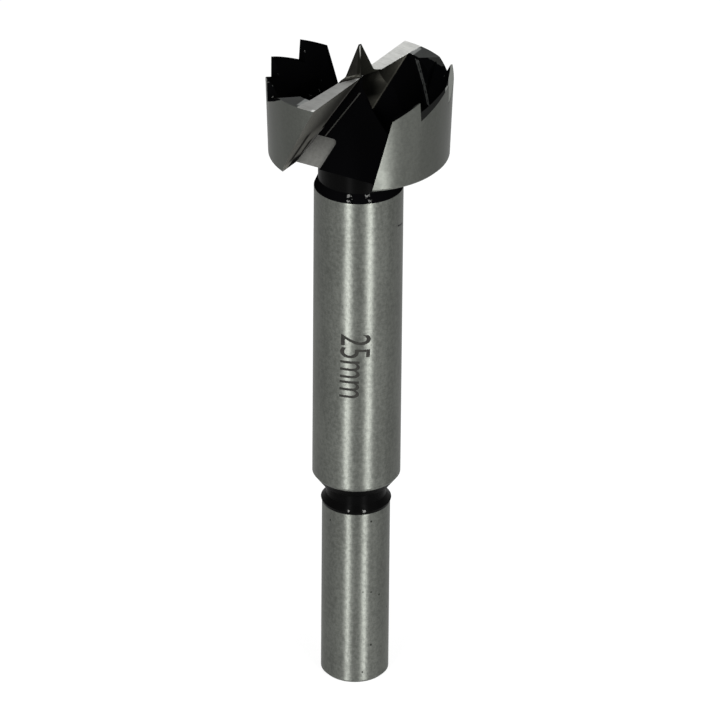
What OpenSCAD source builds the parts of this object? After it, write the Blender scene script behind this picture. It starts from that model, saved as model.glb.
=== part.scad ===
// Forstner bit, 25 mm, with saw-tooth rim
// It stands on the end of its shank. +Z points along the bit to the centre point,
// and the origin is the middle of the shank's end.

/* [Shank and body] */
// Diameter of the ground shank that the chuck grips
shank_d = 9.3; // [8:0.1:9.6]
// Length of the ground shank
shank_len = 26.5; // [20:0.5:40]
// Edge break round the shank's end
shank_break = 0.5; // [0.2:0.1:1]
// Diameter of the flared bead above the shank
bead_d = 9.6; // [8.6:0.1:10.4]
// Length over which it flares
bead_len = 0.5; // [0.2:0.1:2]
// Diameter at the bottom of the groove between bead and body
groove_d = 8.2; // [6.5:0.1:8.5]
// Length of the groove
groove_len = 2.4; // [1.5:0.1:5]
// Height of the chamfer that leads from the bead into the groove
groove_lead = 0.8; // [0.2:0.1:1.2]
// Diameter of the body
body_d = 12; // [11:0.1:14]
// Length of the body between its chamfers
body_len = 43.2; // [30:0.1:60]
// Width of the chamfer at the body's lower end
body_chamfer_w = 1.35; // [0.5:0.05:1.4]
// Height of that chamfer
body_chamfer_h = 1.8; // [0.5:0.1:3]

/* [Neck] */
// Diameter of the neck under the head
neck_d = 10.9; // [9:0.1:10.9]
// Height of the chamfer between body and neck
neck_chamfer = 1.3; // [0.5:0.1:2]
// Length of the neck between that chamfer and the head
neck_len = 3.45; // [2:0.05:6]

/* [Head] */
// Cutting diameter, across the tooth tips
head_d = 25; // [23:0.1:28]
// Height of the head from its underside to the tooth tips
head_h = 12.05; // [11:0.05:14]
// Angle by which the wall of the head tapers inwards below the teeth
back_taper = 2; // [0.5:0.1:3]
// Edge break round the underside of the head
head_break = 0.4; // [0.1:0.1:1]

/* [Blades] */
// Angle of the first blade about the axis
blade_turn = 59.5; // [0:0.5:179]
// Distance of the cutting edges below the tooth tips
edge_drop = 0.75; // [0.3:0.05:1.5]
// Distance by which each cutting edge lies ahead of the axis
edge_lead = 0.4; // [0.2:0.05:0.8]
// Hook angle of the rake faces
hook = 28.2; // [20:0.1:34]
// Relief angle of the lands
land_relief = 2; // [1:0.5:3]
// Width of the lands at the axis, from cutting edge to heel
land_w = 1.45; // [1.2:0.05:2]
// Angle between the rear edge of a land and its cutting edge
heel_turn = 4.7; // [2:0.1:8]
// Lean of the heel at the land
heel_lean = 8; // [4:0.5:14]
// Radius of the hollow ground into the heel
heel_r = 4; // [3.6:0.1:8]
// Depth of that hollow below the cutting edge
heel_h = 2.7; // [1.5:0.1:3]
// Lean of the pocket's wall below the heel
wall_lean = 25; // [20:0.5:30]

/* [Centre point] */
// Height of the point above the tooth tips
point_h = 3.9; // [2.5:0.1:6]
// Half thickness of the point at the height of the cutting edges
point_t = 0.2; // [0.15:0.01:0.4]
// Angle between the rear faces of the point and the cutting edges
point_turn = 21; // [18:0.5:24]
// Angle between the flanks of the point and the cutting edges
flank_turn = 32; // [29:0.5:36]
// Half angle between the flanks
flank_angle = 3.4; // [3.1:0.1:6]
// Radius that blends each flank into its land
flank_r = 0.6; // [0.3:0.1:1.2]
// Half width of the blunt end of the tip
tip_flat = 0.02; // [0.01:0.005:0.04]

/* [Flutes] */
// Angle of the flute floors from the axis
floor_tilt = 37.5; // [30:0.5:42]
// Depth below the cutting edges at which a flute floor reaches the axis
floor_drop = 2; // [1.5:0.05:3]
// Thickness of the web between the flutes, at the axis
web_t = 0.6; // [0.4:0.05:1.2]
// Angle between a cutting edge and the wall across the flute
trail_turn = 22.8; // [15:0.1:30]
// Lean of that wall from the axis
trail_lean = 14.2; // [8:0.1:20]
// Distance from the axis to that wall, at the height of the tooth tips
trail_offset = 6.35; // [5.5:0.05:7.5]
// Width of the relief groove at the root of the rake face
root_w = 0.9; // [0.5:0.05:1.5]
// Depth of that groove below the flute floor
root_depth = 0.2; // [0.1:0.05:0.4]
// Width of the ground patch at the lower end of the flute floor, from the rake face
patch_w = 2.8; // [2.2:0.1:3.4]
// Height of that patch above the underside of the head
patch_h = 3.55; // [2:0.05:5]
// Depth of the patch below the flute floor, at its upper end
patch_depth = 0.25; // [0.25:0.05:0.5]
// Angle by which the patch dips further below the flute floor
patch_dip = 1; // [0.5:0.5:4]
// Angle by which the patch widens downwards
patch_flare = 7; // [0:0.5:12]
// Radius of the upper corner of the patch
patch_r = 0.6; // [0.2:0.1:1]

/* [Rim and pockets] */
// Thickness of the rim below its bevel
rim_t = 2.6; // [2:0.05:3]
// Height of the bevel inside the rim
bevel_h = 4.9; // [3.5:0.1:6]
// Distance behind the axis at which that bevel starts
bevel_start = 5.8; // [5:0.1:7]
// Depth of the pockets below the tooth tips
pocket_depth = 7.2; // [6:0.1:9]

/* [Saw teeth] */
// Number of saw teeth on each half of the rim
teeth = 3; // [2:1:3]
// Angle between neighbouring teeth
tooth_pitch = 30.6; // [28:0.1:33]
// Angle from a blade back to its nearest tooth tip
tooth_start = 48.6; // [45:0.1:52]
// Height of a tooth from gullet to tip
tooth_h = 2.85; // [2:0.05:3.5]
// Lean of the leading faces of the teeth
tooth_lean = 6; // [2:0.5:12]
// Length of the ridge at each tooth tip
tip_ridge = 0.2; // [0.1:0.01:0.4]

/* [Hidden] */

// Segments on round shapes
$fn = 96;

// Flat steps across the hollow of the heel, and round the corner of the patch
heel_steps = 16;
corner_steps = 4;

// How far a cut runs past the surface that it opens
over = 1;

shank_r = shank_d / 2;
bead_r = bead_d / 2;
groove_r = groove_d / 2;
body_r = body_d / 2;
neck_r = neck_d / 2;
head_r = head_d / 2;
bead_z = shank_len + bead_len;
body_z = bead_z + groove_len;
body_top = body_z + body_chamfer_h + body_len;
neck_z = body_top + neck_chamfer;
head_z = neck_z + neck_len;
tip_z = head_z + head_h;
edge_z = tip_z - edge_drop;
point_z = tip_z + point_h;
foot_r = head_r - head_h * tan(back_taper);
bore_r = head_r - rim_t;

// Radius of the blank left standing above the teeth for the centre point
core_r = 3.2;

// Angle by which the cuts behind one blade keep clear of the other
clear_turn = 26;

// Reach of the cuts, past every end of the bit
reach = 2 * point_z;

// Turned outline of shank, groove, body, neck and head, from the axis outwards
module turned_outline() {
    polygon([
        [0, 0],
        [shank_r - shank_break, 0],
        [shank_r, shank_break],
        [shank_r, shank_len],
        [bead_r, bead_z],
        [groove_r, bead_z + groove_lead],
        [groove_r, body_z],
        [body_r - body_chamfer_w, body_z],
        [body_r, body_z + body_chamfer_h],
        [body_r, body_top],
        [neck_r, neck_z],
        [neck_r, head_z],
        [foot_r - head_break, head_z],
        [foot_r + head_break * tan(back_taper), head_z + head_break],
        [head_r, tip_z],
        [core_r, tip_z],
        [core_r, point_z],
        [0, point_z],
    ]);
}

// Everything on the +Y side of the plane through X and Z
module ahead() {
    translate([-reach, 0, -reach]) cube(2 * reach);
}

// Everything on the -Y side of the same plane
module behind() {
    mirror([0, 1, 0]) ahead();
}

// Moves a plane onto the rake face of a blade along +X, which cuts towards +Y
module at_rake(shift = 0) {
    translate([0, edge_lead, edge_z]) rotate([-hook, 0, 0]) translate([0, shift, 0]) children();
}

// Moves a plane onto the flute floor, which slopes down and outwards along the blade
module at_floor() {
    translate([0, 0, edge_z - floor_drop]) rotate([0, -floor_tilt, 0]) children();
}

// What lies above the flute floor, with the groove along its root
module above_floor() {
    at_floor() rotate([0, 0, -90]) ahead();
    intersection() {
        at_floor() translate([-root_depth, 0, 0]) rotate([0, 0, -90]) ahead();
        at_rake(root_w) behind();
    }
}

// Open space of one flute, from the rake face to the trailing wall of the other half
module flute() {
    intersection() {
        at_rake() ahead();
        above_floor();
        translate([web_t / 2, 0, 0]) rotate([0, 0, -90]) ahead();
        translate([0, 0, tip_z])
            rotate([0, 0, trail_turn])
                translate([0, trail_offset, 0])
                    rotate([-trail_lean, 0, 0]) behind();
    }
}

// Outline of the ground patch on the flute floor, from the root of the rake face.
// It widens downwards, and its upper corner is round.
module patch_outline() {
    lean = atan(cos(floor_tilt) * tan(hook)) - patch_flare;
    far = patch_w / cos(hook) * cos(lean) - patch_r;
    middle = [(far - patch_r * sin(lean)) / cos(lean), -patch_r];
    corner = [
        for (i = [0:corner_steps])
            let (a = 90 - i * (90 + lean) / corner_steps)
            middle + patch_r * [cos(a), sin(a)]
    ];
    polygon([
        [-reach, 0],
        each corner,
        corner[corner_steps] - reach * [sin(lean), cos(lean)],
        [-reach, -reach],
    ]);
}

// Ground patch at the lower end of the rake face, sunk into the flute floor
module ground_patch() {
    patch_z = head_z + patch_h;
    patch_x = (edge_z - floor_drop - patch_z) * tan(floor_tilt);
    patch_y = edge_lead - (edge_z - patch_z) * tan(hook);
    intersection() {
        at_rake() ahead();
        translate([patch_x, patch_y, patch_z]) rotate([0, -floor_tilt, 0]) intersection() {
            rotate([90, 0, 90])
                translate([0, 0, -reach]) linear_extrude(2 * reach) patch_outline();
            rotate([0, patch_dip, 0])
                translate([-patch_depth, 0, 0]) rotate([0, 0, -90]) ahead();
        }
    }
}

// Section across a ground rear face: hollow below the land, then the wall of the pocket.
// It is drawn in the direction away from the blade, and covers what is cut off.
module rear_section(offset, lean) {
    top = point_h + edge_drop + over;
    deep = pocket_depth + over;
    heel_end = asin(sin(lean) + heel_h / heel_r);
    hollow = [
        for (i = [0:heel_steps])
            let (a = lean + i * (heel_end - lean) / heel_steps)
            [offset + heel_r * (cos(lean) - cos(a)), heel_r * (sin(lean) - sin(a))]
    ];
    foot = hollow[heel_steps];
    polygon([
        [offset - top * tan(lean), top],
        each hollow,
        foot + (deep + foot[1]) * [tan(wall_lean), -1],
        [reach, -deep],
        [reach, top],
    ]);
}

// Cut of one ground rear face, turned back from the cutting edge
module rear_face(turn, offset, lean) {
    translate([0, 0, edge_z])
        rotate([90, 0, -90 - turn])
            translate([0, 0, -reach]) linear_extrude(2 * reach) rear_section(offset, lean);
}

// Rear face of the point, heel behind the land, and the pocket between blade and rim.
// The cuts stop short of the other blade.
module heel_and_pocket() {
    heel_offset = (land_w - edge_lead) * cos(heel_turn);
    point_lean = atan((point_t - tip_flat) / (point_h + edge_drop));
    intersection() {
        translate([0, 0, tip_z - pocket_depth])
            cylinder(r = bore_r, h = pocket_depth + point_h + 2 * over);
        union() {
            rear_face(point_turn, point_t, point_lean);
            rear_face(heel_turn, heel_offset, heel_lean);
        }
        rotate([0, 0, -90 - clear_turn]) ahead();
    }
}

// Section across a flank of the point, with the fillet that leads out onto the land.
// It leans against the land's relief, so that the flank still ends at the tip.
module flank_section() {
    height = point_h + edge_drop;
    tip_q = tip_flat + height * tan(land_relief) * cos(flank_turn);
    foot_q = tip_q + height * tan(flank_angle - land_relief);
    fillet_q = foot_q - flank_r * tan(flank_angle - land_relief) + flank_r;
    difference() {
        polygon([
            [tip_q, height + over],
            [tip_q, height],
            [foot_q, 0],
            [reach, 0],
            [reach, height + over],
        ]);
        difference() {
            square([fillet_q, flank_r]);
            translate([fillet_q, flank_r]) circle(flank_r);
        }
    }
}

// Land of one blade and the flank of the point that rises from it
module land() {
    rear = 0.8 * head_r * sin(tooth_start);
    intersection() {
        translate([0, edge_lead, edge_z])
            rotate([land_relief, 0, 0])
                translate([0, -edge_lead, 0])
                    rotate([0, 0, -flank_turn])
                        rotate([90, 0, 90])
                            translate([0, 0, -core_r]) linear_extrude(reach) flank_section();
        translate([-core_r, -rear, head_z]) cube([reach, rear + core_r + over, reach]);
    }
}

// Bevel inside the rim, which brings the teeth to an edge
module rim_bevel() {
    slope = (rim_t - tip_ridge) / bevel_h;
    depth = 1.3 * bevel_h;
    intersection() {
        translate([0, 0, tip_z - depth])
            cylinder(
                h = depth + over,
                r1 = head_r - tip_ridge - depth * slope,
                r2 = head_r - tip_ridge + over * slope
            );
        translate([0, -bevel_start, 0]) behind();
    }
}

// Gullets between the saw teeth: steep leading face, then the sloping back of the next tooth
module gullets() {
    back = head_r * sin(tooth_pitch) + tip_ridge / 2;
    rise = tooth_h / (back - tooth_h * tan(tooth_lean));
    for (i = [0:teeth])
        rotate([0, 0, -tooth_start - i * tooth_pitch])
            translate([0.7 * head_r, 0, tip_z])
                rotate([90, 0, 90])
                    linear_extrude(0.5 * head_r)
                        polygon([
                            [0, 0],
                            [tooth_h * tan(tooth_lean), -tooth_h],
                            [back, 0],
                            [back + over / rise, over],
                            [-over * tan(tooth_lean), over],
                        ]);
}

module forstner_bit() {
    color("silver")
        difference() {
            rotate_extrude() turned_outline();
            for (half = [0, 180]) rotate([0, 0, blade_turn + half]) {
                flute();
                ground_patch();
                heel_and_pocket();
                land();
                rim_bevel();
                gullets();
            }
        }
}

forstner_bit();
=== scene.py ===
import bpy
from math import cos, radians, sin, tan
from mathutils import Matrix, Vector


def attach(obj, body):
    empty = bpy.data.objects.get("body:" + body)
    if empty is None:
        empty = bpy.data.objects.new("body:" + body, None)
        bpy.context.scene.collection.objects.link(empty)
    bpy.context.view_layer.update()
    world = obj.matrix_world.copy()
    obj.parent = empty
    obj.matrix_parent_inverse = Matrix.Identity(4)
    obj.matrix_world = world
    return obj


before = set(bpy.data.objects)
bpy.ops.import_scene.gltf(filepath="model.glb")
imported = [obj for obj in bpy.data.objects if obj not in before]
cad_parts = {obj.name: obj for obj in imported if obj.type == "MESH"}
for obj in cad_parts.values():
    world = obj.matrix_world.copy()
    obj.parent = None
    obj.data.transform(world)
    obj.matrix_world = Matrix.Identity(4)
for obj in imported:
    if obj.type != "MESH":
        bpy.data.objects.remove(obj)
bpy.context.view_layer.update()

from types import SimpleNamespace

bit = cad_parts["forstner_bit"]
print("frame loaded")

# places on the bit in millimetres, as the solid has them
bitSize = {
    "shankTop": 26.5, "steelFoot": 30.75, "bodyTop": 74.4, "neckFoot": 75.7, "neckTop": 79.15, "bodyR": 6.0,
    "wallFootR": 12.08, "backTaper": 2.0, "boreR": 9.9, "coreR": 3.2,
    "bladeTurn": 59.5, "edgeZ": 90.45, "edgeLead": 0.4, "hook": 28.2, "landRelief": 2.0,
    "pointTurn": 21.0, "pointT": 0.2, "pointLean": 2.216,
    "floorTilt": 37.5, "floorZ": 88.45, "rootW": 0.9,
    "patchTilt": 36.5, "patchX": 4.4123, "patchZ": 82.7, "patchDepth": 0.25,
    "heelNormal": (-0.2289, 0.8491, 0.4760), "heelOffset": 39.254,
}


# a small kit for sums in shader nodes

def feed(tree, socket, value):
    if isinstance(value, bpy.types.NodeSocket):
        tree.links.new(value, socket)
    else:
        socket.default_value = value


def mathNode(tree, operation, *values):
    node = tree.nodes.new("ShaderNodeMath")
    node.operation = operation
    for socket, value in zip(node.inputs, values):
        feed(tree, socket, value)
    return node.outputs[0]


def vectorNode(tree, operation, *values):
    node = tree.nodes.new("ShaderNodeVectorMath")
    node.operation = operation
    for socket, value in zip(node.inputs, values):
        feed(tree, socket, value)
    return node


def stretched(tree, point, factors):
    return vectorNode(tree, "MULTIPLY", point, factors).outputs["Vector"]


def scaled(tree, vector, amount):
    node = vectorNode(tree, "SCALE", vector)
    feed(tree, node.inputs["Scale"], amount)
    return node.outputs["Vector"]


def axesOf(tree, vector):
    split = tree.nodes.new("ShaderNodeSeparateXYZ")
    tree.links.new(vector, split.inputs[0])
    return tuple(split.outputs)


# a fade is where it begins and ends, and its levels there when they aren't 0 and 1
def fade(tree, value, span):
    node = tree.nodes.new("ShaderNodeMapRange")
    node.interpolation_type = "SMOOTHSTEP"
    tree.links.new(value, node.inputs["Value"])
    for name, number in zip(("From Min", "From Max", "To Min", "To Max"), span):
        node.inputs[name].default_value = number
    return node.outputs["Result"]


def noise(tree, point, scale=1.0, detail=2.0, roughness=0.5):
    node = tree.nodes.new("ShaderNodeTexNoise")
    node.inputs["Scale"].default_value = scale
    node.inputs["Detail"].default_value = detail
    node.inputs["Roughness"].default_value = roughness
    tree.links.new(point, node.inputs["Vector"])
    return node.outputs["Fac"]


def planeDistance(tree, point, normal, through, lift=0.0):
    along = vectorNode(tree, "DOT_PRODUCT", point, normal).outputs["Value"]
    return mathNode(tree, "SUBTRACT", along, normal.dot(Vector(through)) + lift)


# a line is its slope and a place on it
def offLine(tree, across, along, line):
    slope, acrossAt, alongAt = line
    lean = mathNode(tree, "MULTIPLY_ADD", along, slope, -acrossAt - slope * alongAt)
    return mathNode(tree, "ADD", across, lean)


def mixColour(tree, fac, a, b):
    node = tree.nodes.new("ShaderNodeMix")
    node.data_type = "RGBA"
    tree.links.new(fac, node.inputs[0])
    for socket, value in ((node.inputs[6], a), (node.inputs[7], b)):
        feed(tree, socket, value + (1.0,) if isinstance(value, tuple) else value)
    return node.outputs[2]


def mixValue(tree, fac, a, b):
    node = tree.nodes.new("ShaderNodeMix")
    node.data_type = "FLOAT"
    for socket, value in ((node.inputs[0], fac), (node.inputs[2], a), (node.inputs[3], b)):
        feed(tree, socket, value)
    return node.outputs[0]


def allOf(tree, *masks):
    result = masks[0]
    for mask in masks[1:]:
        result = mathNode(tree, "MULTIPLY", result, mask)
    return result


def anyOf(tree, *masks):
    result = masks[0]
    for mask in masks[1:]:
        result = mathNode(tree, "MAXIMUM", result, mask)
    return result


def notIn(tree, mask):
    return mathNode(tree, "SUBTRACT", 1.0, mask)


def above(tree, value, limit):
    return mathNode(tree, "GREATER_THAN", value, limit)


def below(tree, value, limit):
    return mathNode(tree, "LESS_THAN", value, limit)


def between(tree, value, limits):
    return allOf(tree, above(tree, value, limits[0]), below(tree, value, limits[1]))


def nearTo(tree, value, target, width):
    return below(tree, mathNode(tree, "ABSOLUTE", mathNode(tree, "SUBTRACT", value, target)), width)


# which faces of one blade are ground, from a point in that blade's own frame

bladeMarks = {
    "axisX": -0.3, "jag": (2.2, 3.0, 0.65), "pointFace": 0.04,
    "patchFace": 0.035, "patchOver": 0.1, "patchRake": -0.05,
}

landMarks = {
    "face": 0.03, "y": (-7.0, 0.45), "clearX": 3.2, "clearPoint": -0.3,
    "rear": (0.085, -1.15, 0.0), "rearJag": 0.9, "rearFade": (-0.06, 0.06),
    "spotY": (-2.8, -2.55), "cornerX": (11.8, 12.1), "cornerY": (-0.2, 0.1),
    "grindStretch": (3.2, 0.5, 0.5), "grindNoise": (1.0, 3.0, 0.6), "grindTone": (0.35, 0.65, 0.88, 1.06),
}


# land: bright along the edge with grinding lines across it, duller on the rim behind the heel
def landMasks(group, at):
    p = landMarks
    relief = radians(bitSize["landRelief"])
    landGap = planeDistance(group, at.point, Vector((0.0, -sin(relief), cos(relief))), at.edge)
    clear = anyOf(group, above(group, at.x, p["clearX"]), below(group, at.pointGap, p["clearPoint"]))
    onLand = allOf(group, nearTo(group, landGap, 0.0, p["face"]), at.outer, clear, between(group, at.y, p["y"]))
    rear = mathNode(group, "MULTIPLY_ADD", at.jag, p["rearJag"], offLine(group, at.y, at.x, p["rear"]))
    front = fade(group, rear, p["rearFade"])
    facet = allOf(group, onLand, notIn(group, front))
    grind = noise(group, stretched(group, at.point, p["grindStretch"]), *p["grindNoise"])
    return {
        "Land": allOf(group, onLand, front),
        "LandGrain": fade(group, grind, p["grindTone"]),
        # outer corner of the land: a painted glint, where the second land's painted shade is lifted
        "CornerGlint": allOf(group, fade(group, at.x, p["cornerX"]), fade(group, at.y, p["cornerY"])),
        "Facet": facet,
        "Spot": allOf(group, facet, fade(group, at.y, p["spotY"])),
    }


rakeMarks = {
    "face": 0.03, "floor": -0.1, "root": (-0.15, 0.88, 83.83), "rootHighlightLine": (0.12, 0.4, 0.75, 0.0),
    "rootDark": (-0.45, -0.25, 1.0, 0.0), "rootDarkZ": (83.4, 83.8),
    "across": (0.8, 8.5, 0.28, 1.1), "upperZ": (85.0, 89.0, 1.3, 1.0), "lowerZ": (83.3, 86.0, 1.1, 0.25),
    "footZ": (80.2, 81.2, 1.6, 0.0), "footX": 9.0,
    "outer": (0.24, 8.42, 84.96), "outerWidth": (0.25, 0.85, 0.88, 0.0),
    "outerTop": (84.3, 85.2, 1.0, 0.0), "outerFoot": (80.2, 80.9),
    "inner": (0.30, 6.05, 82.76), "innerWidth": (0.2, 0.75, 0.84, 0.0), "innerTop": (82.4, 83.0, 1.0, 0.0),
    "notchZ": (80.3, 81.2, 0.95, 0.0), "notchX": (8.7, 9.2, 1.0, 0.0), "notchInner": -0.2,
    "stripInner": (-0.6, -0.3, 1.0, 0.0), "stripTop": (82.9, 83.8, 1.0, 0.0),
}


def rakeMasks(group, at):
    p = rakeMarks
    onRake = allOf(group, nearTo(group, at.rakeGap, 0.0, p["face"]), at.outer, above(group, at.floorGap, p["floor"]))

    # painted light and shade: darker towards the root except low down, with a painted highlight line along the root
    rootGap = offLine(group, at.floorGap, at.z, p["root"])
    root = fade(group, mathNode(group, "ABSOLUTE", rootGap), p["rootHighlightLine"])
    # black band below the highlight line: painted shadow of the groove, also black oxide in the corner
    rootDark = allOf(group, fade(group, rootGap, p["rootDark"]), fade(group, at.z, p["rootDarkZ"]))
    upper = allOf(group, fade(group, rootGap, p["across"]), fade(group, at.z, p["upperZ"]))
    lower = fade(group, at.z, p["lowerZ"])
    foot = allOf(group, fade(group, at.z, p["footZ"]), above(group, at.x, p["footX"]))

    # two dark creases low on the face, which meet in a notch, and the ground strip inside them
    outerGap = offLine(group, at.x, at.z, p["outer"])
    innerGap = offLine(group, at.x, at.z, p["inner"])
    outerCrease = allOf(group, fade(group, mathNode(group, "ABSOLUTE", outerGap), p["outerWidth"]),
                        fade(group, at.z, p["outerTop"]), fade(group, at.z, p["outerFoot"]))
    innerCrease = allOf(group, fade(group, mathNode(group, "ABSOLUTE", innerGap), p["innerWidth"]),
                        fade(group, at.z, p["innerTop"]))
    notch = allOf(group, fade(group, at.z, p["notchZ"]), above(group, innerGap, p["notchInner"]),
                  fade(group, at.x, p["notchX"]))
    return {
        "Rake": onRake,
        "RakeLightAndShade": allOf(group, onRake, anyOf(group, upper, lower, foot, root)),
        "Crease": allOf(group, onRake, anyOf(group, outerCrease, innerCrease, notch, rootDark)),
        "Inside": allOf(group, onRake, fade(group, innerGap, p["stripInner"]), fade(group, at.z, p["stripTop"])),
    }


# ground patch at the foot of the flute, and the rear face of the point
def patchMasks(group, at):
    p, s = bladeMarks, bitSize
    tilt = radians(s["patchTilt"])
    patchGap = planeDistance(group, at.point, Vector((cos(tilt), 0.0, sin(tilt))),
                             (s["patchX"], 0.0, s["patchZ"]), -s["patchDepth"])
    onPatch = allOf(group, nearTo(group, patchGap, 0.0, p["patchFace"]), above(group, at.rakeGap, p["patchRake"]))
    return {
        "Patch": allOf(group, onPatch, below(group, at.z, s["patchZ"] + p["patchOver"]), below(group, at.y, 0.0)),
        "PointRear": nearTo(group, at.pointGap, 0.0, p["pointFace"]),
    }


heelMarks = {
    "rake": -0.1, "x": -0.25, "y": 0.2, "footZ": 85.5, "jag": 0.15, "edge": (-0.05, 0.05),
    "depth": (0.0, 1.3, 1.0, 0.55), "lipHighlight": (0.1, 0.35, 1.9, 0.0),
    "shadow": (-0.75, 0.0, 87.3), "shadowFade": (0.0, 2.0, 0.15, 1.0), "lowZ": (87.0, 88.2, 1.5, 0.0),
}


# hollow heel: ground down to a line that falls towards the axis, with painted shade deeper in the hollow and beside
# the point, less of it low down, and a painted highlight along its edge
def heelMasks(group, at):
    p = heelMarks
    heelGap = planeDistance(group, at.point, Vector(bitSize["heelNormal"]), (0.0, 0.0, 0.0), bitSize["heelOffset"])
    heelGap = mathNode(group, "MULTIPLY_ADD", at.jag, p["jag"], heelGap)
    back = allOf(group, below(group, at.rakeGap, p["rake"]), above(group, at.x, p["x"]), below(group, at.y, p["y"]))
    depth = anyOf(group, fade(group, heelGap, p["depth"]), fade(group, heelGap, p["lipHighlight"]))
    shadow = fade(group, offLine(group, at.x, at.z, p["shadow"]), p["shadowFade"])
    return {
        "Heel": allOf(group, fade(group, heelGap, p["edge"]), back, above(group, at.z, p["footZ"])),
        "HeelLightAndShade": allOf(group, depth, anyOf(group, shadow, fade(group, at.z, p["lowZ"]))),
    }


edgeMarks = {
    "jag": 0.6, "rimX": 9.88, "rimY": -4.2,
    "wallTop": (-0.63, 88.13, -8.63), "wallTopJag": 0.25, "wallTopFade": (-0.06, 0.06),
    "wallTopX": 7.0, "wallTopY": (-9.3, -5.4),
    "rootOut": 0.05, "rootWidth": 0.11, "rootFloor": 0.05,
    "pocketHighlight": (-0.502, -3.4, 89.73), "pocketHighlightFade": (0.18, 0.42, 1.0, 0.0), "pocketHighlightPatchy": (-0.14, 0.08, 0.4, 1.0),
    "pocketHighlightX": 5.0, "pocketHighlightZ": (84.4, 89.9),
}


# rim behind the land, black top of the wall there, a painted highlight line at the edge of the root groove, and a
# mottled painted highlight streak down the corner of the pocket
def edgeMasks(group, at):
    p, s = edgeMarks, bitSize
    rimX = mathNode(group, "MULTIPLY_ADD", at.jag, p["jag"], at.x)
    wallTop = mathNode(group, "MULTIPLY_ADD", at.jag, p["wallTopJag"], offLine(group, at.z, at.y, p["wallTop"]))
    pocketHighlight = mathNode(group, "ABSOLUTE", offLine(group, at.y, at.z, p["pocketHighlight"]))
    pocketHighlight = mathNode(group, "MULTIPLY_ADD", at.jag, p["jag"], pocketHighlight)
    return {
        "Rim": allOf(group, above(group, rimX, p["rimX"]), below(group, at.y, p["rimY"])),
        "WallTop": allOf(group, fade(group, wallTop, p["wallTopFade"]), above(group, at.x, p["wallTopX"]),
                         between(group, at.y, p["wallTopY"])),
        "RootEdgeHighlight": allOf(group, nearTo(group, at.rakeGap, s["rootW"] + p["rootOut"], p["rootWidth"]),
                          nearTo(group, at.floorGap, 0.0, p["rootFloor"]), above(group, at.z, s["patchZ"]), at.outer),
        "PocketHighlight": allOf(group, fade(group, pocketHighlight, p["pocketHighlightFade"]), fade(group, at.jag, p["pocketHighlightPatchy"]),
                      above(group, at.x, p["pocketHighlightX"]), between(group, at.z, p["pocketHighlightZ"])),
    }


def groundFacesGroup():
    group = bpy.data.node_groups.new("groundFaces", "ShaderNodeTree")
    group.interface.new_socket("Point", in_out="INPUT", socket_type="NodeSocketVector")
    point = group.nodes.new("NodeGroupInput").outputs["Point"]
    x, y, z = axesOf(group, point)
    s = bitSize
    hook, tilt = radians(s["hook"]), radians(s["floorTilt"])
    turn, lean = radians(s["pointTurn"]), radians(s["pointLean"])
    edge = (0.0, s["edgeLead"], s["edgeZ"])
    rakeN = Vector((0.0, cos(hook), -sin(hook)))
    floorN = Vector((cos(tilt), 0.0, sin(tilt)))
    pointN = Vector((-sin(turn) * cos(lean), -cos(turn) * cos(lean), sin(lean)))
    at = SimpleNamespace(
        point=point, x=x, y=y, z=z, edge=edge,
        outer=above(group, x, bladeMarks["axisX"]),
        jag=mathNode(group, "SUBTRACT", noise(group, point, *bladeMarks["jag"]), 0.5),    # for ragged borders
        rakeGap=planeDistance(group, point, rakeN, edge),
        floorGap=planeDistance(group, point, floorN, (0.0, 0.0, s["floorZ"])),
        pointGap=planeDistance(group, point, pointN, (0.0, 0.0, s["edgeZ"]), s["pointT"] * cos(lean)),
    )
    found = {}
    for faceMasks in (landMasks, rakeMasks, patchMasks, heelMasks, edgeMasks):
        found.update(faceMasks(group, at))
    for name in found:
        group.interface.new_socket(name, in_out="OUTPUT", socket_type="NodeSocketFloat")
    result = group.nodes.new("NodeGroupOutput")
    for name, value in found.items():
        group.links.new(value, result.inputs[name])
    return group


groundFaces = groundFacesGroup()


# ground steel and black oxide on the one solid, parted along its faces

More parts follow.
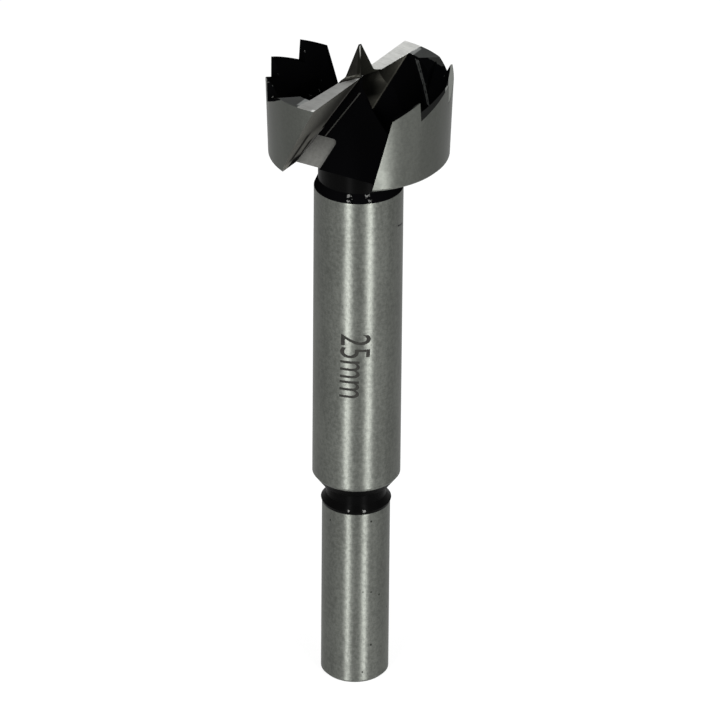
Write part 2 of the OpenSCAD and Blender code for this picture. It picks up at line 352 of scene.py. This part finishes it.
steelLook = {
    "steel": (0.112, 0.117, 0.106), "wallShade": 0.80, "endShade": (0.2, 0.34, 0.6, 1.0),
    "steelRough": 0.42, "roughSpread": 0.16, "aniso": 0.9, "anisoTurn": 0.25, "edgeTint": 0.75,
    "grain": 0.24, "grainStretch": (2.4, 2.4, 1.9), "grainNoise": (1.0, 4.0, 0.72), "grainShare": 0.6, "bump": 0.10,
    "lineStretch": (0.9, 0.9, 14.0), "lineShare": 0.2, "cloudStretch": (0.35, 0.35, 0.10), "cloudShare": 0.2,
    "toneSpan": (0.36, 0.64), "headSmooth": 0.5,
    # the land shade darkens the second land as painted shade
    "land": (0.76, 0.765, 0.74), "landPaintedShade": 0.46, "landTone": (0.8, 1.2, 0.92, 1.06),
    "facet": (0.058, 0.061, 0.059), "spot": (0.27, 0.28, 0.275), "spotR": (11.8, 12.1, 1.0, 0.0),
    "patch": (0.046, 0.046, 0.043), "patchTone": (79.5, 82.7, 1.3, 0.8),
    # the root line colour is a painted highlight at the edge of the root groove
    "rake": (0.036, 0.0355, 0.032), "rootEdgeHighlight": (0.016, 0.016, 0.0145), "heel": (0.022, 0.0215, 0.018),
    "flank": (0.021, 0.0205, 0.018), "pointRear": (0.012, 0.012, 0.0098),
    # the ridge colour is a painted highlight
    "ridge": (0.34, 0.34, 0.32), "ridgeR": (0.06, 0.16, 1.0, 0.0), "ridgeFoot": (92.8, 93.6), "ridgeTop": 94.9,
    "upward": 0.6, "teethZ": 87.0, "rimFacet": (0.034, 0.035, 0.033), "rimFacetZ": 89.55,
    "toothBack": (0.017, 0.0175, 0.017), "toothBackY": (0.5, 2.5, 1.0, 0.0), "toothBackX": (6.8, 7.8),
    "toothLight": (0.30, 0.31, 0.29), "toothLightR": 11.75, "toothLightX": 11.3, "toothLightY": 2.5,
    # the colour in the pocket corner is a painted highlight streak
    "pocketHighlight": (0.085, 0.088, 0.085), "pocketHighlightDepth": 0.2,
    "chip": (0.25, 0.26, 0.25), "chipCells": (0.8, 0.14, 0.25), "chipR": 9.4, "chipZ": 85.0,
    "pit": (0.02, 0.02, 0.018), "pitCells": (0.9, 0.17, 0.12),
    "scratch": (0.61, 69.72, 5.26), "scratchWidth": 0.12, "scratchX": (5.26, 5.88),
    "speck": (0.06, 0.06, 0.058), "speckNoise": 3.5, "speckShift": 0.9, "speckFlat": 2.0,
    "oxide": (0.0007, 0.0007, 0.0008), "oxideRough": 0.38, "sheen": (0.002, 0.002, 0.002), "sheenMetal": 0.6,
}

# painted glints of the lamps on the neck chamfer and the bead (the first six), and specks on edges of the head where
# the black is knocked off down to bare steel: place and radius
paintedGlintsAndBareSpecks = (
    ((-1.30, -5.43, 75.35), 0.40), ((1.18, -5.41, 75.44), 0.40), ((-1.29, -5.68, 74.77), 0.34),
    ((1.50, -5.63, 74.78), 0.30), ((-0.92, -4.65, 27.07), 0.24), ((1.15, -4.58, 27.08), 0.26),
    ((-12.13, -2.40, 90.57), 0.28), ((-6.46, 10.59, 90.39), 0.18), ((-7.34, 8.88, 89.61), 0.16),
    ((-10.83, 3.61, 88.76), 0.16), ((-11.45, -2.51, 88.37), 0.20), ((-5.34, 8.06, 84.28), 0.22),
    ((-6.49, 7.18, 84.0), 0.20), ((3.22, -5.45, 84.45), 0.14),
)


def bladePoint(tree, point, turn):
    node = tree.nodes.new("ShaderNodeVectorRotate")
    node.rotation_type = "Z_AXIS"
    node.inputs["Angle"].default_value = -radians(turn)
    tree.links.new(point, node.inputs["Vector"])
    return node.outputs["Vector"]


def specks(tree, point, scale, size, share):
    cells = tree.nodes.new("ShaderNodeTexVoronoi")
    cells.inputs["Scale"].default_value = scale
    tree.links.new(point, cells.inputs["Vector"])
    pick = tree.nodes.new("ShaderNodeSeparateColor")
    tree.links.new(cells.outputs["Color"], pick.inputs[0])
    small = fade(tree, cells.outputs["Distance"], (size * 0.6, size, 1.0, 0.0))
    return allOf(tree, small, above(tree, pick.outputs[0], 1.0 - share))


def raggedSpots(tree, point, spots):
    shift, flat = steelLook["speckShift"], (1.0, 1.0, steelLook["speckFlat"])    # specks lie round the bit
    ragged = tree.nodes.new("ShaderNodeTexNoise")
    ragged.inputs["Scale"].default_value = steelLook["speckNoise"]
    tree.links.new(point, ragged.inputs["Vector"])
    moved = vectorNode(tree, "MULTIPLY_ADD", ragged.outputs["Color"], (shift, shift, shift), point).outputs["Vector"]
    moved = stretched(tree, moved, flat)
    masks = []
    for spot, radius in spots:
        middle = tuple((place + shift / 2) * factor for place, factor in zip(spot, flat))
        gap = vectorNode(tree, "DISTANCE", moved, middle).outputs["Value"]
        masks.append(fade(tree, gap, (radius * 0.6, radius, 1.0, 0.0)))
    return anyOf(tree, *masks)


# grain of the ground steel: fine mottle and faint lines round the bit, over a soft cloud
def steelGrain(tree, point, inHead):
    look = steelLook
    grain = noise(tree, stretched(tree, point, look["grainStretch"]), *look["grainNoise"])
    lines = noise(tree, stretched(tree, point, look["lineStretch"]))
    cloud = noise(tree, stretched(tree, point, look["cloudStretch"]))
    tone = mathNode(tree, "MULTIPLY", grain, look["grainShare"])
    tone = mathNode(tree, "MULTIPLY_ADD", cloud, look["cloudShare"], tone)
    tone = mathNode(tree, "MULTIPLY_ADD", lines, look["lineShare"], tone)
    tone = fade(tree, tone, look["toneSpan"] + (1.0 - look["grain"], 1.0 + look["grain"]))
    smooth = mathNode(tree, "MULTIPLY", inHead, look["headSmooth"])    # the head is smoother
    return grain, mixValue(tree, smooth, tone, 1.0)


def toolSteel():
    material = bpy.data.materials.new("toolSteel")
    material.use_nodes = True
    tree = material.node_tree
    shader = tree.nodes["Principled BSDF"]
    s, look = bitSize, steelLook
    shader.inputs["Specular IOR Level"].default_value = 0.0
    shader.inputs["Specular Tint"].default_value = (look["edgeTint"],) * 3 + (1.0,)    # duller at the silhouette
    shader.inputs["Anisotropic"].default_value = look["aniso"]
    shader.inputs["Anisotropic Rotation"].default_value = look["anisoTurn"]    # streaks run along the bit

    coords = tree.nodes.new("ShaderNodeTexCoord")
    point = scaled(tree, coords.outputs["Object"], 1000.0)    # millimetres from here on
    x, y, z = axesOf(tree, point)
    radius = vectorNode(tree, "LENGTH", stretched(tree, point, (1.0, 1.0, 0.0))).outputs["Value"]
    facingUp = axesOf(tree, coords.outputs["Normal"])[2]
    inHead = above(tree, z, s["neckTop"] - 0.02)
    grain, tone = steelGrain(tree, point, inHead)

    # ground faces of both blades, the second land in painted shade except for a painted glint at its outer corner
    masks, secondLand = {}, None
    for turn in (s["bladeTurn"], s["bladeTurn"] + 180.0):
        node = tree.nodes.new("ShaderNodeGroup")
        node.node_tree = groundFaces
        tree.links.new(bladePoint(tree, point, turn), node.inputs["Point"])
        for output in node.outputs:
            masks[output.name] = anyOf(tree, masks[output.name], output) if output.name in masks else output
        secondLand = node.outputs["Land"]
    for name in ("Rake", "Patch", "Land", "Facet"):
        masks[name] = allOf(tree, masks[name], inHead)

    # outer wall of the head, body and shank
    wallR = mathNode(tree, "MULTIPLY_ADD", mathNode(tree, "SUBTRACT", z, s["neckTop"]),
                     tan(radians(s["backTaper"])), s["wallFootR"] - 0.05)
    wall = allOf(tree, above(tree, mathNode(tree, "SUBTRACT", radius, wallR), 0.0),
                 above(tree, z, s["neckTop"] + 0.05), notIn(tree, masks["WallTop"]))
    rim = allOf(tree, inHead, above(tree, radius, s["wallFootR"] - 0.6), below(tree, z, s["neckTop"] + 0.45))
    body = between(tree, z, (s["steelFoot"], s["bodyTop"] + 0.03))
    shank = below(tree, z, s["shankTop"] + 0.05)
    turned = anyOf(tree, wall, rim, body, shank)
    sheen = anyOf(tree, between(tree, z, (s["shankTop"], s["steelFoot"])),
                  between(tree, z, (s["neckFoot"], s["neckTop"] - 0.02)))

    # tops of the teeth and the rim
    upward = allOf(tree, above(tree, facingUp, look["upward"]), above(tree, radius, s["boreR"] + 0.1),
                   above(tree, z, look["teethZ"]))
    toothBack = allOf(tree, upward, fade(tree, y, look["toothBackY"]), fade(tree, x, look["toothBackX"]))
    toothLight = allOf(tree, upward, above(tree, radius, look["toothLightR"]), above(tree, x, look["toothLightX"]),
                       below(tree, y, look["toothLightY"]))
    rimFacet = allOf(tree, upward, masks["Rim"], above(tree, z, look["rimFacetZ"]))

    # heel, and point with flanks, dark rear faces and a painted highlight along the ridge near the tip
    heel = allOf(tree, masks["Heel"], inHead, below(tree, radius, s["boreR"] + 0.03))
    onPoint = allOf(tree, above(tree, z, s["edgeZ"] + 0.02), below(tree, radius, s["coreR"]))
    ridge = allOf(tree, fade(tree, radius, look["ridgeR"]), fade(tree, z, look["ridgeFoot"]),
                  below(tree, z, look["ridgeTop"]))

    # painted highlight streak down the pocket corner, chips, pits and a scratch
    pocketHighlight = allOf(tree, masks["PocketHighlight"], nearTo(tree, radius, s["boreR"], look["pocketHighlightDepth"]))
    chips = allOf(tree, specks(tree, point, *look["chipCells"]), above(tree, radius, look["chipR"]),
                  above(tree, z, look["chipZ"]))
    pits = allOf(tree, specks(tree, point, *look["pitCells"]), shank)
    scratch = allOf(tree, nearTo(tree, offLine(tree, z, x, look["scratch"]), 0.0, look["scratchWidth"]),
                    between(tree, x, look["scratchX"]), below(tree, y, 0.0))

    patchPaint = scaled(tree, look["patch"], allOf(tree, tone, fade(tree, z, look["patchTone"])))
    turnedTone = allOf(tree, tone, mixValue(tree, inHead, 1.0, look["wallShade"]), fade(tree, z, look["endShade"]))
    # painted shade on the second land, lifted to full brightness at the painted corner glint
    paintedShadeOnSecondLand = allOf(tree, secondLand, notIn(tree, masks["CornerGlint"]))
    landTone = allOf(tree, fade(tree, tone, look["landTone"]), mixValue(tree, paintedShadeOnSecondLand, 1.0, look["landPaintedShade"]),
                     masks["LandGrain"])

    # each layer covers those before it
    layers = (
        (sheen, look["sheen"]),
        (chips, look["chip"]),
        (toothBack, look["toothBack"]),
        (toothLight, look["toothLight"]),
        (rimFacet, look["rimFacet"]),
        # painted highlights: the streak down the pocket corner and the line at the edge of the root groove
        (pocketHighlight, look["pocketHighlight"]),
        (allOf(tree, masks["RootEdgeHighlight"], inHead), look["rootEdgeHighlight"]),
        # painted glints on the neck chamfer and bead, and bare specks on the head
        (raggedSpots(tree, point, paintedGlintsAndBareSpecks), look["speck"]),
        # heel in painted shade with a painted highlight along its edge
        (heel, scaled(tree, look["heel"], allOf(tree, masks["HeelLightAndShade"], tone))),
        (onPoint, scaled(tree, look["flank"], tone)),
        (allOf(tree, masks["PointRear"], onPoint), look["pointRear"]),
        (ridge, look["ridge"]),
        # rake with painted shade towards the root and a painted highlight line along it
        (masks["Rake"], scaled(tree, look["rake"], allOf(tree, masks["RakeLightAndShade"], tone))),
        (masks["Inside"], patchPaint),
        (masks["Crease"], look["oxide"]),
        (masks["Patch"], patchPaint),
        (turned, scaled(tree, look["steel"], turnedTone)),
        (pits, look["pit"]),
        (scratch, look["oxide"]),
        (masks["Facet"], scaled(tree, look["facet"], tone)),
        (allOf(tree, masks["Spot"], fade(tree, radius, look["spotR"])), scaled(tree, look["spot"], tone)),
        (masks["Land"], scaled(tree, look["land"], landTone)),
    )
    colour = look["oxide"]
    for mask, paint in layers:
        colour = mixColour(tree, mask, colour, paint)
    tree.links.new(colour, shader.inputs["Base Color"])

    # rake faces and patches are left matt
    metal = anyOf(tree, turned, masks["Land"], masks["Facet"], heel, onPoint, pocketHighlight,
                  toothBack, toothLight, rimFacet, chips)
    shine = anyOf(tree, metal, mathNode(tree, "MULTIPLY", sheen, look["sheenMetal"]))
    tree.links.new(shine, shader.inputs["Metallic"])
    spread = look["roughSpread"]
    steelRough = mathNode(tree, "MULTIPLY_ADD", grain, spread, look["steelRough"] - spread / 2)
    tree.links.new(mixValue(tree, metal, look["oxideRough"], steelRough), shader.inputs["Roughness"])
    bump = tree.nodes.new("ShaderNodeBump")
    bump.inputs["Strength"].default_value = look["bump"]
    bump.inputs["Distance"].default_value = 0.00002
    tree.links.new(grain, bump.inputs["Height"])
    tree.links.new(bump.outputs["Normal"], shader.inputs["Normal"])
    return material


steelMaterial = toolSteel()
for materialSlot in bit.material_slots:
    materialSlot.material = steelMaterial
print("steel and oxide done")


# size mark on the body, read downwards

sizeMark = {
    "words": "25mm", "height": 0.0031, "capShare": 0.72, "tall": 1.37, "narrow": 0.91, "slant": 0.022,
    "middle": 0.05002, "x": -0.00057, "thick": 0.00002, "slices": 24, "sliceSpan": 1.6,
    "dark": (0.004, 0.004, 0.0035), "pale": (0.014, 0.014, 0.012), "patchScale": 1800.0, "shine": 0.1, "rough": 0.6,
}


def markMaterial():
    material = bpy.data.materials.new("etchedMark")
    material.use_nodes = True
    tree = material.node_tree
    shader = tree.nodes["Principled BSDF"]
    coords = tree.nodes.new("ShaderNodeTexCoord")
    patchy = noise(tree, coords.outputs["Object"], sizeMark["patchScale"], 3.0)
    tree.links.new(mixColour(tree, patchy, sizeMark["dark"], sizeMark["pale"]), shader.inputs["Base Color"])
    shader.inputs["Specular IOR Level"].default_value = sizeMark["shine"]
    shader.inputs["Roughness"].default_value = sizeMark["rough"]
    return material


def makeSizeMark():
    bpy.ops.object.select_all(action="DESELECT")
    bpy.ops.object.text_add()
    mark = bpy.context.object
    mark.data.body = sizeMark["words"]
    mark.data.size = sizeMark["height"] / sizeMark["capShare"]
    mark.data.align_x = "CENTER"
    mark.data.align_y = "CENTER"
    mark.data.extrude = sizeMark["thick"]
    bpy.ops.object.convert(target="MESH")
    mark = bpy.context.object
    mark.name = "sizeMark"
    # letters are sliced lengthways so that they can follow the round body
    bpy.ops.object.mode_set(mode="EDIT")
    slices, span = sizeMark["slices"], sizeMark["sliceSpan"]
    for i in range(slices):
        bpy.ops.mesh.select_all(action="SELECT")
        height = sizeMark["height"] * ((i + 0.5) / slices * span - span / 2)
        bpy.ops.mesh.bisect(plane_co=(0.0, height, 0.0), plane_no=(0.0, 1.0, 0.0))
    bpy.ops.object.mode_set(mode="OBJECT")
    bodyR = bitSize["bodyR"] / 1000.0
    for vertex in mark.data.vertices:
        along, across, out = vertex.co
        along *= sizeMark["narrow"]
        angle = (sizeMark["x"] + across * sizeMark["tall"] - along * sizeMark["slant"]) / bodyR
        reach = bodyR + out
        vertex.co = (reach * sin(angle), -reach * cos(angle), sizeMark["middle"] - along)
    mark.data.materials.append(markMaterial())
    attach(mark, "root")


makeSizeMark()
print("size mark done")


# floor, light and camera

studio = {
    "floorSize": 3.0, "floorColour": (0.86, 0.86, 0.86), "floorRough": 0.9, "floorWhite": 0.85,
    "worldColour": (0.9, 0.9, 0.9), "worldLevel": 0.85,
    "lampAim": (0.0, 0.0, 0.05), "lampElevation": 17.0, "lampDistance": 1.0,
    "stripTurns": (-24.3, 29.3), "stripSize": (0.16, 0.55), "stripPower": 15.0,
    "fillTurns": (-58.0, 62.0), "fillSize": (0.5, 0.6), "fillPower": (1.0, 1.7),
    "lens": 370.6, "sensor": 36.0, "clipStart": 0.01, "distance": 1.0, "elevation": 27.9605, "roll": 0.5,
    "target": (0.0003763, 0.0, 0.0479172),
}


def paleFloor():
    material = bpy.data.materials.new("paleFloor")
    material.use_nodes = True
    tree = material.node_tree
    shader = tree.nodes["Principled BSDF"]
    shader.inputs["Base Color"].default_value = studio["floorColour"] + (1.0,)
    shader.inputs["Roughness"].default_value = studio["floorRough"]
    path = tree.nodes.new("ShaderNodeLightPath")
    white = tree.nodes.new("ShaderNodeEmission")    # strength 1, plain white
    seen = anyOf(tree, *(path.outputs[name] for name in ("Is Camera Ray", "Is Glossy Ray", "Is Transmission Ray")))
    mix = tree.nodes.new("ShaderNodeMixShader")
    tree.links.new(mathNode(tree, "MULTIPLY", seen, studio["floorWhite"]), mix.inputs[0])
    tree.links.new(shader.outputs[0], mix.inputs[1])
    tree.links.new(white.outputs[0], mix.inputs[2])
    tree.links.new(mix.outputs[0], tree.nodes["Material Output"].inputs["Surface"])
    return material


def makeStudio():
    bpy.ops.object.select_all(action="DESELECT")
    bpy.ops.mesh.primitive_plane_add(size=studio["floorSize"])
    floor = bpy.context.object
    floor.name = "floor"
    floor.data.materials.append(paleFloor())

    world = bpy.data.worlds.new("studioWorld")
    world.use_nodes = True
    background = world.node_tree.nodes["Background"]
    background.inputs["Color"].default_value = studio["worldColour"] + (1.0,)
    background.inputs["Strength"].default_value = studio["worldLevel"]
    bpy.context.scene.world = world

    # two upright strip lamps, which draw the two light streaks along the bit, and a soft fill at each side
    lamps = [(turn, studio["stripSize"], studio["stripPower"]) for turn in studio["stripTurns"]]
    lamps += [(turn, studio["fillSize"], power) for turn, power in zip(studio["fillTurns"], studio["fillPower"])]
    for turn, size, power in lamps:
        a, e = radians(turn), radians(studio["lampElevation"])
        away = Vector((sin(a) * cos(e), -cos(a) * cos(e), sin(e)))
        bpy.ops.object.light_add(type="AREA", location=Vector(studio["lampAim"]) + away * studio["lampDistance"],
                                 rotation=away.to_track_quat("Z", "Y").to_euler())
        lamp = bpy.context.object.data
        lamp.shape = "RECTANGLE"
        lamp.size, lamp.size_y = size
        lamp.energy = power


def makeCamera():
    camera = bpy.data.cameras.new("photoCamera")
    camera.lens = studio["lens"]
    camera.sensor_width = studio["sensor"]
    camera.clip_start = studio["clipStart"]
    cameraObject = bpy.data.objects.new("photoCamera", camera)
    bpy.context.collection.objects.link(cameraObject)
    e, r = radians(studio["elevation"]), radians(studio["roll"])
    back = Vector((0.0, -cos(e), sin(e)))
    across, upward = Vector((1.0, 0.0, 0.0)), Vector((0.0, sin(e), cos(e)))
    right = across * cos(r) + upward * sin(r)
    up = upward * cos(r) - across * sin(r)
    place = Vector(studio["target"]) + back * studio["distance"]
    matrix = cameraObject.matrix_world.copy()
    for row in range(3):
        matrix[row] = (right[row], up[row], back[row], place[row])
    cameraObject.matrix_world = matrix
    bpy.context.scene.camera = cameraObject


makeStudio()
makeCamera()
bpy.context.scene.view_settings.view_transform = "Standard"
print("studio done")
